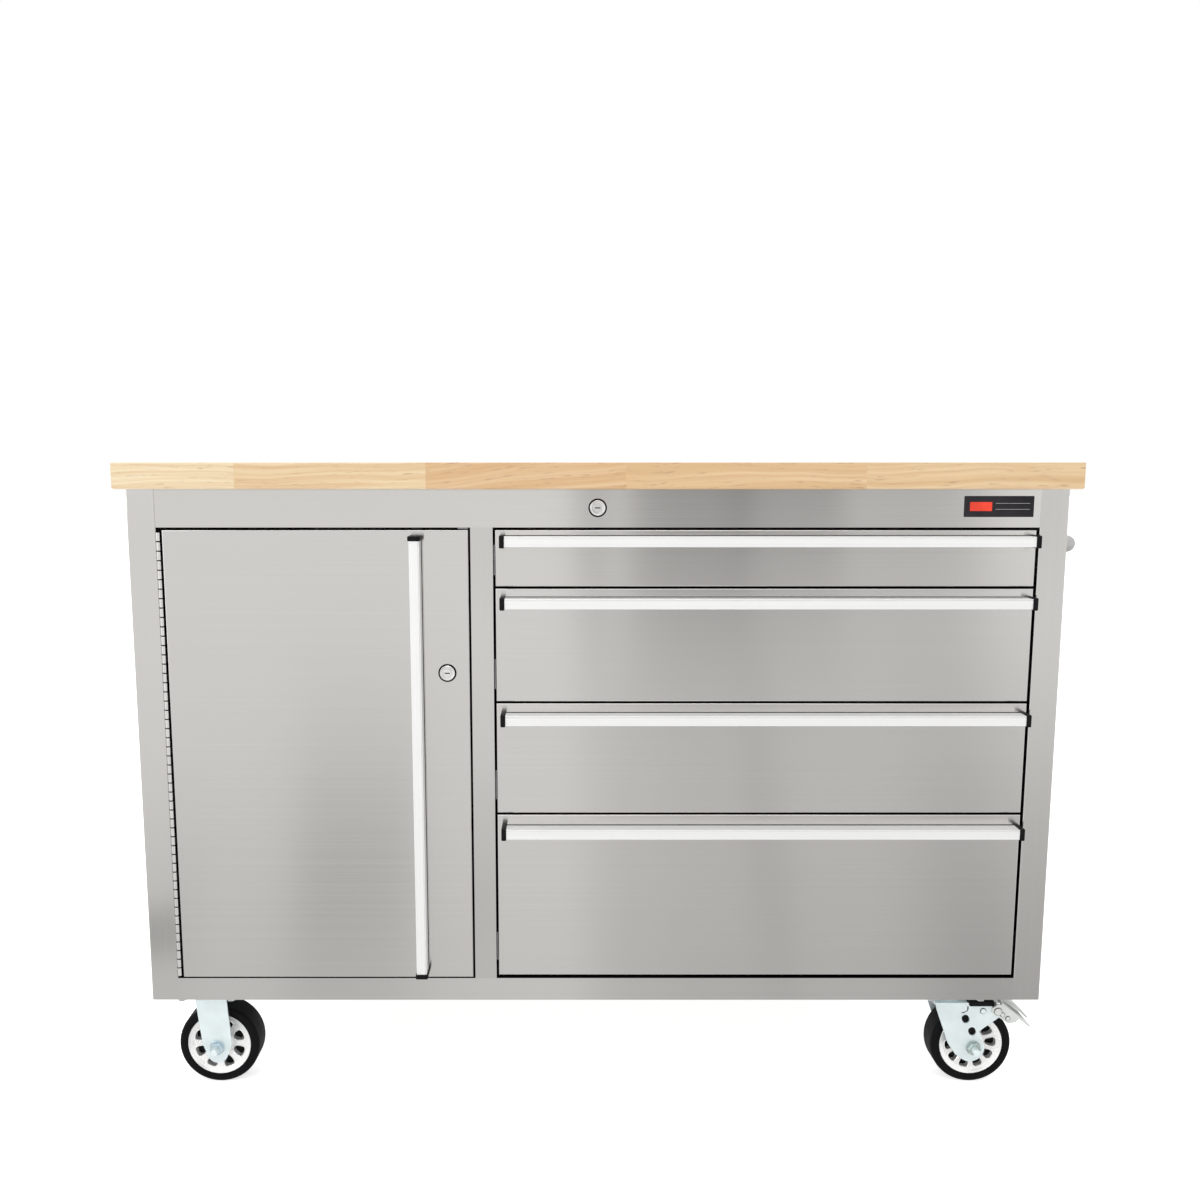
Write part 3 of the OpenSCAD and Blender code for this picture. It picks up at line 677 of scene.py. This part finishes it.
def pull_outline():
    """Section of a pull: u runs out from the front, v upwards from the pull's top."""
    edge = 0.5 * MM
    bead = 1.0 * MM
    groove = 0.9 * MM
    points = [(0, 0)]
    points += arc(PULL_REACH - edge, -edge, edge, 90, 0, 4)
    points += [(PULL_REACH, -bead), (PULL_REACH - groove, -bead - 0.1 * MM)]
    points += [(PULL_REACH - groove, -bead - groove), (PULL_REACH, -bead - groove - 0.1 * MM)]
    points += arc(PULL_REACH - edge, -PULL_LIP + edge, edge, 0, -90, 4)
    points += [(PULL_REACH - PULL_WEB, -PULL_LIP), (PULL_REACH - PULL_WEB, -PULL_WEB)]
    points += [(PULL_WEB, -PULL_WEB), (PULL_WEB, -PULL_LIP), (0, -PULL_LIP)]
    return points


def pulls():
    """Channel-section pulls, each with a near-black strip of painted shadow where its web meets the front.
    """
    painted_shade_strip = 1.1 * MM
    proud = 0.5 * MM
    for i in DRAWERS:
        node = f"drawer_handle_{i}"
        body = f"drawer_{i}"
        low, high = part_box(node)
        bm = bmesh.new()
        place = lambda u, v, w, face=high.y, top=high.z: (w, face - u, top + v)
        add_prism(bm, pull_outline(), place, low.x, high.x)
        piece(f"drawer_pull_{i}", bm, body, "pull_across", [node], 25)
        # a near-black strip along the pull's top: painted contact shadow
        bm = bmesh.new()
        add_box(bm, (low.x, high.y - proud, high.z - painted_shade_strip), (high.x, high.y, high.z + painted_shade_strip), 0.2 * MM, 1)
        piece(f"pull_painted_shadow_{i}", bm, body, "painted_shade_strip")
    low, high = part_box("door_handle")
    bm = bmesh.new()
    add_prism(bm, pull_outline(), lambda u, v, w: (high.x + v, high.y - u, w), low.z, high.z)
    piece("door_pull", bm, "door", "pull_upright", ["door_handle"], 25)
    # a near-black strip beside the door pull's web: painted contact shadow
    bm = bmesh.new()
    add_box(bm, (high.x - painted_shade_strip, high.y - proud, low.z), (high.x + painted_shade_strip, high.y, high.z), 0.2 * MM, 1)
    piece("door_pull_painted_shadow", bm, "door", "painted_shade_strip")


def pull_caps():
    """Black end caps with rounded edges, a little larger than the pull's section."""
    soft = 1.6 * MM
    thick = 7.3 * MM
    for i in DRAWERS:
        low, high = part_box(f"drawer_handle_caps_{i}")
        bm = bmesh.new()
        for x0 in (low.x, high.x - thick):
            add_box(bm, (x0, low.y, low.z), (x0 + thick, high.y, high.z), soft, 4)
        piece(f"pull_caps_{i}", bm, f"drawer_{i}", "black", [f"drawer_handle_caps_{i}"])
    low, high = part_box("door_handle_caps")
    bm = bmesh.new()
    for z0 in (low.z, high.z - thick):
        add_box(bm, (low.x, low.y, z0), (high.x, high.y, z0 + thick), soft, 4)
    piece("door_pull_caps", bm, "door", "black", ["door_handle_caps"])


# ---------------------------------------------------------------- locks

LOCK_FACE = 3 * MM
KEYWAY_HALF_WIDTH = 3.9 * MM
KEYWAY_HALF_HEIGHT = 0.75 * MM


def locks():
    """Black gasket, chrome bezel and a near-black box of painted shade in the keyway of both locks."""
    for node, body, plug_body in (
        ("drawer_lock_housing", "chest", "drawer_lock_plug"),
        ("door_lock_housing", "door", "door_lock_plug"),
    ):
        low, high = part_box(node)
        centre_x, centre_z = (low.x + high.x) / 2, (low.z + high.z) / 2
        face = low.y + LOCK_FACE
        place = lambda x, z, depth: (centre_x + x, face - depth, centre_z + z)
        gasket = [(10.5, 0), (13.5, 0), (13.5, 0.7), (13.1, 1.1), (10.5, 1.1)]
        bm = bmesh.new()
        add_lathe(bm, [(r * MM, d * MM) for r, d in gasket], place, 72)
        piece(f"{body}_lock_gasket", bm, body, "black")
        bezel = [(6.55, 0.2), (6.55, 2.5), (6.9, 2.7), (8.6, 2.4), (9.4, 2.5), (10.0, 3.0)]
        bezel += [(10.8, 2.9), (11.25, 2.3), (11.25, -0.2), (9.6, -0.4), (9.6, -18), (6.55, -18)]
        bm = bmesh.new()
        add_lathe(bm, [(r * MM, d * MM) for r, d in bezel], place, 72)
        piece(f"{body}_lock_bezel", bm, body, "lock", [node], 50)
        # near-black box filling the keyway slot: painted shade
        bm = bmesh.new()
        corner = place(-KEYWAY_HALF_WIDTH, -KEYWAY_HALF_HEIGHT, -2.5 * MM)
        add_box(bm, corner, place(KEYWAY_HALF_WIDTH, KEYWAY_HALF_HEIGHT, 2.1 * MM))
        piece(f"{body}_keyway", bm, plug_body, "painted_keyway_shade")


# ---------------------------------------------------------------- casters

SPOKES = {"left": 8, "right": 10}
FIRST_POCKET = {"left": math.radians(22.5), "right": math.radians(3.6)}
SPOKE_HALF = {"left": 5.0, "right": 3.5}
DISC_INNER = 21.0
DISC_OUTER = 42.0


def wheel_space(centre):
    """Places (radius part x, radius part z, depth) around a wheel's centre; depth runs towards -Y."""
    return lambda x, z, depth: (centre.x + x, centre.y - depth, centre.z + z)


def to_metres(profile):
    return [(r * MM, d * MM) for r, d in profile]


def dish(r):
    """Depth of the rim's face at radius r, in mm from the middle of the wheel."""
    return 16.8 + 2.4 * (r - DISC_INNER) / (DISC_OUTER - DISC_INNER)


def add_face(bm, place, sign, side):
    """One face of the rim: a disc with a rounded pocket between each pair of ridged spokes."""
    steps = 40
    spokes = SPOKES[side]
    half_sector = math.pi / spokes
    pocket_middle = 31.8
    middle_width = pocket_middle * math.sin(half_sector) - SPOKE_HALF[side]
    flare = 0.34 * middle_width
    for k in range(spokes):
        turn = FIRST_POCKET[side] + 2 * half_sector * k
        rings = [[], [], [], [], []]
        for n in range(steps):
            angle = 2 * math.pi * n / steps
            c, t = math.cos(angle), math.sin(angle)
            u = math.copysign(abs(c) ** 0.7, c)
            v = math.copysign(abs(t) ** 0.7, t)
            reach = max(abs(u), abs(v))
            r = DISC_INNER + (DISC_OUTER - DISC_INNER) * (u / reach + 1) / 2
            way = turn + half_sector * v / reach
            rings[0].append((r * math.cos(way), r * math.sin(way), dish(r)))
            for ring, length, width, drop in (
                (1, 9.5, middle_width + 1.5, 0.0),
                (2, 9.1, middle_width + 0.9, 0.9),
                (3, 8.5, middle_width + 0.2, 0.1),
                (4, 8.0, middle_width - 0.3, -9.0),
            ):
                radial = pocket_middle + length * u
                across = (width + flare * u) * v
                x = radial * math.cos(turn) - across * math.sin(turn)
                z = radial * math.sin(turn) + across * math.cos(turn)
                rings[ring].append((x, z, dish(radial) + drop))
        rings = [[bm.verts.new(place(x * MM, z * MM, sign * d * MM)) for x, z, d in ring] for ring in rings]
        for one, two in zip(rings, rings[1:]):
            for n in range(steps):
                m = (n + 1) % steps
                bm.faces.new([one[n], one[m], two[m], two[n]])


def add_rim(bm, place, side):
    """Plated rim: both faces, the rolled edge that holds the tyre, and the hub."""
    edge = [(42.0, 19.2), (43.0, 19.9), (44.4, 20.2), (46.4, 20.5)]
    edge += [(48.2, 21.6), (49.2, 21.9), (49.9, 21.2), (49.9, 0)]
    hub = [(21.0, 16.8), (20.0, 17.2), (18.4, 17.6), (15.6, 18.6)]
    hub += [(14.0, 20.4), (13.6, 28.6), (12.8, 29.4), (5.1, 29.4)]
    for sign in (-1, 1):
        add_face(bm, place, sign, side)
        for profile in (edge, hub):
            add_lathe(bm, [(r * MM, sign * d * MM) for r, d in profile], place, 80, closed=False)
    bmesh.ops.remove_doubles(bm, verts=bm.verts, dist=0.01 * MM)


def wheels():
    tyre = [(50, -21.6), (52, -22.4), (55, -22.8)] + arc(57.3, -17, 6.1, -85, 0, 8)
    tyre += arc(57.3, 17, 6.1, 0, 85, 8) + [(55, 22.8), (52, 22.4), (50, 21.6)]
    # near-black disc at the wheel's middle, floor of the rim's pockets: painted shade seen through them
    pocket_shade = [(20, -8), (42, -8), (42, 8), (20, 8)]
    for place_name in PLACES:
        for side in SIDES:
            body = f"wheel_{place_name}_{side}"
            rim_node = f"wheel_rim_{place_name}_{side}"
            tyre_node = f"wheel_tyre_{place_name}_{side}"
            low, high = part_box(tyre_node)
            place = wheel_space((low + high) / 2)
            bm = bmesh.new()
            add_lathe(bm, to_metres(tyre), place, 96)
            piece(f"tyre_{place_name}_{side}", bm, body, "rubber", [tyre_node], 30)
            bm = bmesh.new()
            add_rim(bm, place, side)
            piece(f"rim_{place_name}_{side}", bm, body, "rim", [rim_node], 30)
            bm = bmesh.new()
            add_lathe(bm, to_metres(pocket_shade), place, 64)
            piece(f"rim_pocket_shade_{place_name}_{side}", bm, body, "black")


LEG_FACE = 33.0
PIVOT_FROM_LEFT = 27 * MM
LEG_SLOTS = ((21.6, 111.1), (32.9, 90.3))
SLOT_SHADE_HALF = 10
NUT_CORNER_RADIUS = 10.4
BRACKET_RIVET = (48.5, 124.4, 4.0)
PEDAL_RIVETS = ((70.7, 124.9, 5.5), (78.0, 119.7, 3.2), (86.7, 113.4, 3.2))


def add_ring(bm, x, z, inner, outer, place, near, far):
    """A thin flat ring about (x, z), between two depths."""
    profile = [(inner, near), (outer, near), (outer, far), (inner, far)]
    add_lathe(bm, to_metres(profile), lambda u, v, depth: place(u + x * MM, v + z * MM, depth), 32)


def axle_ends():
    """Washer, nut and bolt end on the front of each axle."""
    bolt = [(0, 53.4), (4.3, 53.4), (5.3, 52.2), (5.3, 41), (0, 41)]
    washer = [(5, 33), (11.6, 33), (11.6, 34.3), (11.2, 34.6), (5, 34.6)]
    for place_name in PLACES:
        for side, body in (("left", "chest"), ("right", f"swivel_fork_{place_name}")):
            low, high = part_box(f"wheel_tyre_{place_name}_{side}")
            place = wheel_space((low + high) / 2)
            bm = bmesh.new()
            add_lathe(bm, to_metres(washer), place, 40)
            piece(f"axle_washer_{place_name}_{side}", bm, body, f"nut_{side}")
            bm = bmesh.new()
            add_lathe(bm, to_metres(bolt), place, 32, closed=False)
            piece(f"axle_bolt_end_{place_name}_{side}", bm, body, "blue_zinc", degrees=25)
            bm = bmesh.new()
            nut = [(r * 0.93, 42.0) if r > 5 else (r, 42.0) for r in (5.2, NUT_CORNER_RADIUS)]
            nut += [(NUT_CORNER_RADIUS, 41.2), (NUT_CORNER_RADIUS, 34.4), (5.2, 34.4)]
            add_lathe(bm, to_metres(nut), place, 6)
            piece(f"axle_nut_{place_name}_{side}", bm, body, f"nut_{side}", degrees=25)


def fork_details():
    """Brake cover, near-black plates of painted shade behind the leg slots, a painted shade line where the
    bracket starts and painted shade rings round the rivets.
    """
    leg = LEG_FACE * MM
    line = [(24.3, 132), (24.3, 127.5), (22.6, 123.8), (19.0, 121.6), (14.5, 121.8)]
    for place_name in PLACES:
        body = f"swivel_fork_{place_name}"
        pivot_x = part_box(body)[0].x + PIVOT_FROM_LEFT
        tyre_low, tyre_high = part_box(f"wheel_tyre_{place_name}_right")
        middle = (tyre_low.y + tyre_high.y) / 2
        bm = bmesh.new()
        cover_low = (pivot_x + 24 * MM, middle - leg, 132.4 * MM)
        cover_high = (pivot_x + 66 * MM, middle + leg, 140 * MM)
        add_box(bm, cover_low, cover_high, 1.5 * MM, 3)
        # near-black plates set behind the leg slots: painted shade seen through the slots
        for side in (-1, 1):
            y0, y1 = sorted((middle + side * (leg - 4.2 * MM), middle + side * (leg - 3.1 * MM)))
            for x, z in LEG_SLOTS:
                spot_x = pivot_x + x * MM
                half = SLOT_SHADE_HALF * MM
                low_corner = (spot_x - half, y0, (z - SLOT_SHADE_HALF) * MM)
                add_box(bm, low_corner, (spot_x + half, y1, (z + SLOT_SHADE_HALF) * MM), 0.3 * MM, 1)
        piece(f"brake_cover_and_slot_shade_{place_name}", bm, body, "black")
        for side, face in ((-1, "front"), (1, "back")):
            # a thin near-black strip along the bracket's edge and a ring round its rivet: painted shade in
            # the creases
            bm = bmesh.new()
            y0, y1 = sorted((middle + side * (leg - 0.2 * MM), middle + side * (leg + 0.3 * MM)))
            left = [(x - 0.9, z - 0.4) for x, z in line]
            right = [(x + 0.9, z + 0.4) for x, z in line[::-1]]
            add_prism(bm, left + right, lambda u, v, w: (pivot_x + u * MM, w, v * MM), y0, y1)
            place = lambda x, z, depth: (pivot_x + x, middle + side * depth, z)
            x, z, r = BRACKET_RIVET
            add_ring(bm, x, z, r, r + 1.0, place, 32.9, 33.4)
            piece(f"bracket_line_{place_name}_{face}", bm, body, "painted_shade_strip")
            # near-black rings round the pedal rivets: painted shade in the creases
            bm = bmesh.new()
            for x, z, r in PEDAL_RIVETS:
                add_ring(bm, x, z, r - 0.1, r + 0.8, place, 36.1, 36.6)
            pedal = f"brake_pedal_{place_name}"
            piece(f"pedal_rings_{place_name}_{face}", bm, pedal, "painted_shade_strip")


# ---------------------------------------------------------------- hinge

KNUCKLE = 13.9 * MM
BARREL = 2.85 * MM


def hinge_barrel():
    """Bright knuckles of the piano hinge, every other one on the door, with dark joints between them."""
    low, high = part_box("hinge_frame_leaf")
    axis_x, axis_y, _ = next(j for j in frame["joints"] if j["name"] == "door_hinge")["pos_m"]
    count = round((high.z - low.z) / KNUCKLE)
    inset = 0.6 * MM
    soft = 0.4 * MM
    for first, body, name in ((0, "chest", "frame"), (1, "door", "door")):
        bm = bmesh.new()
        for k in range(first, count, 2):
            z0 = low.z + k * KNUCKLE + inset
            z1 = low.z + (k + 1) * KNUCKLE - inset
            profile = [(0, z0), (BARREL - soft, z0), (BARREL, z0 + soft)]
            profile += [(BARREL, z1 - soft), (BARREL - soft, z1), (0, z1)]
            add_lathe(bm, profile, lambda u, v, w: (axis_x + u, axis_y + v, w), 20, closed=False)
        piece(f"hinge_knuckles_{name}", bm, body, "hinge")


# ---------------------------------------------------------------- finishes of the CAD nodes

NODE_FINISH = {
    "top_rail": "steel_x",
    "bottom_rail": "steel_x",
    "divider_panel": "steel_z",
    "back_panel": "steel_x",
    "floor_panel": "steel_x",
    "door_liner": "steel_x",
    "adjustable_shelf": "steel_x",
    "caster_channels": "galvanised",
    "push_handle": "chrome",
    "swivel_top_plates": "blue_zinc",
    "rigid_caster_forks": "blue_zinc",
    "caster_bolts": "zinc",
    "slide_outer_rails": "zinc",
    # the hinge leaves take the near-black painted shade, so the hinge joint reads as a dark gap
    "hinge_frame_leaf": "edge",
    "hinge_door_leaf": "edge",
    "shelf_clips": "zinc",
    "magnetic_catch": "zinc",
    "door_lock_plug": "lock",
    "drawer_lock_plug": "lock",
    "drawer_lock_bar": "zinc",
}
for i in DRAWERS:
    NODE_FINISH[f"drawer_box_{i}"] = "galvanised"
    NODE_FINISH[f"slide_middle_{i}"] = "zinc"
for place_name in PLACES:
    NODE_FINISH[f"swivel_fork_{place_name}"] = "blue_zinc"
    NODE_FINISH[f"brake_pedal_{place_name}"] = "pedal_zinc"


def finish_nodes():
    for node, material in NODE_FINISH.items():
        mesh = frame["nodes"][node].data
        mesh.materials.clear()
        mesh.materials.append(M[material])


# ---------------------------------------------------------------- studio


def area_light(name, place, target, size, power):
    data = bpy.data.lights.new(name, "AREA")
    data.shape = "RECTANGLE"
    data.size, data.size_y = size
    data.energy = power
    obj = bpy.data.objects.new(name, data)
    obj.location = place
    obj.rotation_euler = (Vector(target) - Vector(place)).to_track_quat("-Z", "Y").to_euler()
    bpy.context.scene.collection.objects.link(obj)


def floor():
    """Pale floor, which the steel does not mirror: its reflections come from room() alone."""
    bm = bmesh.new()
    bmesh.ops.create_circle(bm, cap_ends=True, segments=96, radius=40)
    mesh = bpy.data.meshes.new("studio_floor")
    bm.to_mesh(mesh)
    bm.free()
    mesh.materials.append(M["floor"])
    obj = bpy.data.objects.new("studio_floor", mesh)
    obj.visible_glossy = False
    bpy.context.scene.collection.objects.link(obj)


# What the steel mirrors: how far to the side, half width, elevation and half height in degrees from
# straight in front of the chest, how much darker than the white room it is, how hard its edges are
ROOM_SHAPES = {
    "open doorway": (5.7, 2.8, 4.0, 11.0, 0.42, 8),
    "cupboard": (10.4, 2.6, 4.0, 8.6, 0.42, 8),
    "far wall": (16.0, 3.2, 4.0, 8.0, 0.22, 4),
    "door frame": (1.1, 0.85, 3.0, 9.5, 0.34, 4),
    "wall": (11.0, 8.4, -14.0, 40.0, 0.17, 8),
    "corner of the wall": (2.0, 1.4, -14.0, 40.0, 0.08, 4),
    "dark floor": (23.5, 7.0, -27.0, 15.0, 0.30, 4),
    "lamp": (22.0, 2.5, 6.0, 6.0, -0.22, 4),
    "box": (-9.8, 2.9, -18.6, 3.8, 0.26, 6),
    "shade beside the box": (-11.0, 5.0, -19.0, 6.0, 0.10, 2),
    "mat": (-13.0, 9.0, -23.0, 4.0, 0.08, 4),
    "edge of the mat": (-19.5, 3.0, -20.8, 1.1, 0.55, 4),
    "post": (8.9, 0.6, -15.0, 5.0, 0.14, 2),
    "foot of the post": (9.8, 0.6, -20.5, 3.0, 0.14, 2),
}
ROOM_TOP = 1.5
ROOM_BY_ELEVATION = (
    (-90, 0.60),
    (-25, 0.79),
    (-20, 0.86),
    (-14, 0.92),
    (-8, 0.97),
    (50, 0.97),
    (70, 1.5),
    (90, 1.5),
)


def room():
    """White room for the camera; in the steel it shows soft shapes and a darker floor."""
    world = bpy.data.worlds.new("studio")
    bpy.context.scene.world = world
    world.use_nodes = True
    n = Nodes(world.node_tree)
    n.tree.nodes.clear()
    direction = n.add("ShaderNodeSeparateXYZ")
    n.feed(direction, 0, n.add("ShaderNodeTexCoord").outputs["Generated"])
    x, _, z = direction.outputs
    sideways = n.math("DEGREES", n.math("ARCSINE", x, 0.0), 0.0)
    elevation = n.math("DEGREES", n.math("ARCSINE", z, 0.0), 0.0)
    first, last = ROOM_BY_ELEVATION[0][0], ROOM_BY_ELEVATION[-1][0]
    stops = [((e - first) / (last - first), [level / ROOM_TOP] * 3) for e, level in ROOM_BY_ELEVATION]
    level = n.math("MULTIPLY", n.ramp(n.span(elevation, 0.0, 1.0, first, last), stops), ROOM_TOP)
    for centre, half_width, height, half_height, darker, hardness in ROOM_SHAPES.values():
        across = n.math("ABSOLUTE", n.math("DIVIDE", n.math("SUBTRACT", sideways, centre), half_width), 0.0)
        up = n.math("ABSOLUTE", n.math("DIVIDE", n.math("SUBTRACT", elevation, height), half_height), 0.0)
        away = n.math("ADD", n.math("POWER", across, hardness), n.math("POWER", up, hardness))
        share = n.math("EXPONENT", n.math("MULTIPLY", away, -1.0), 0.0)
        level = n.math("SUBTRACT", level, n.math("MULTIPLY", share, darker))
    seen = n.add("ShaderNodeBackground")
    n.feed(seen, "Color", (1, 1, 1, 1))
    mirrored = n.add("ShaderNodeBackground")
    n.feed(mirrored, "Color", level)
    choice = n.add("ShaderNodeMixShader")
    n.feed(choice, 0, n.add("ShaderNodeLightPath").outputs["Is Camera Ray"])
    n.tree.links.new(mirrored.outputs[0], choice.inputs[1])
    n.tree.links.new(seen.outputs[0], choice.inputs[2])
    n.tree.links.new(choice.outputs[0], n.add("ShaderNodeOutputWorld").inputs["Surface"])


def studio():
    bpy.context.scene.view_settings.view_transform = "Standard"
    room()
    floor()
    area_light("overhead", (-0.6, -0.8, 3.2), (0, 0, 0.6), (3.0, 2.0), 45)
    area_light("left_fill", (-3.2, -2.2, 1.9), (0, 0, 0.5), (1.6, 2.4), 22)


make_camera()
side_panels()
fronts()
badge()
worktop()
pulls()
pull_caps()
locks()
wheels()
axle_ends()
fork_details()
hinge_barrel()
finish_nodes()
studio()
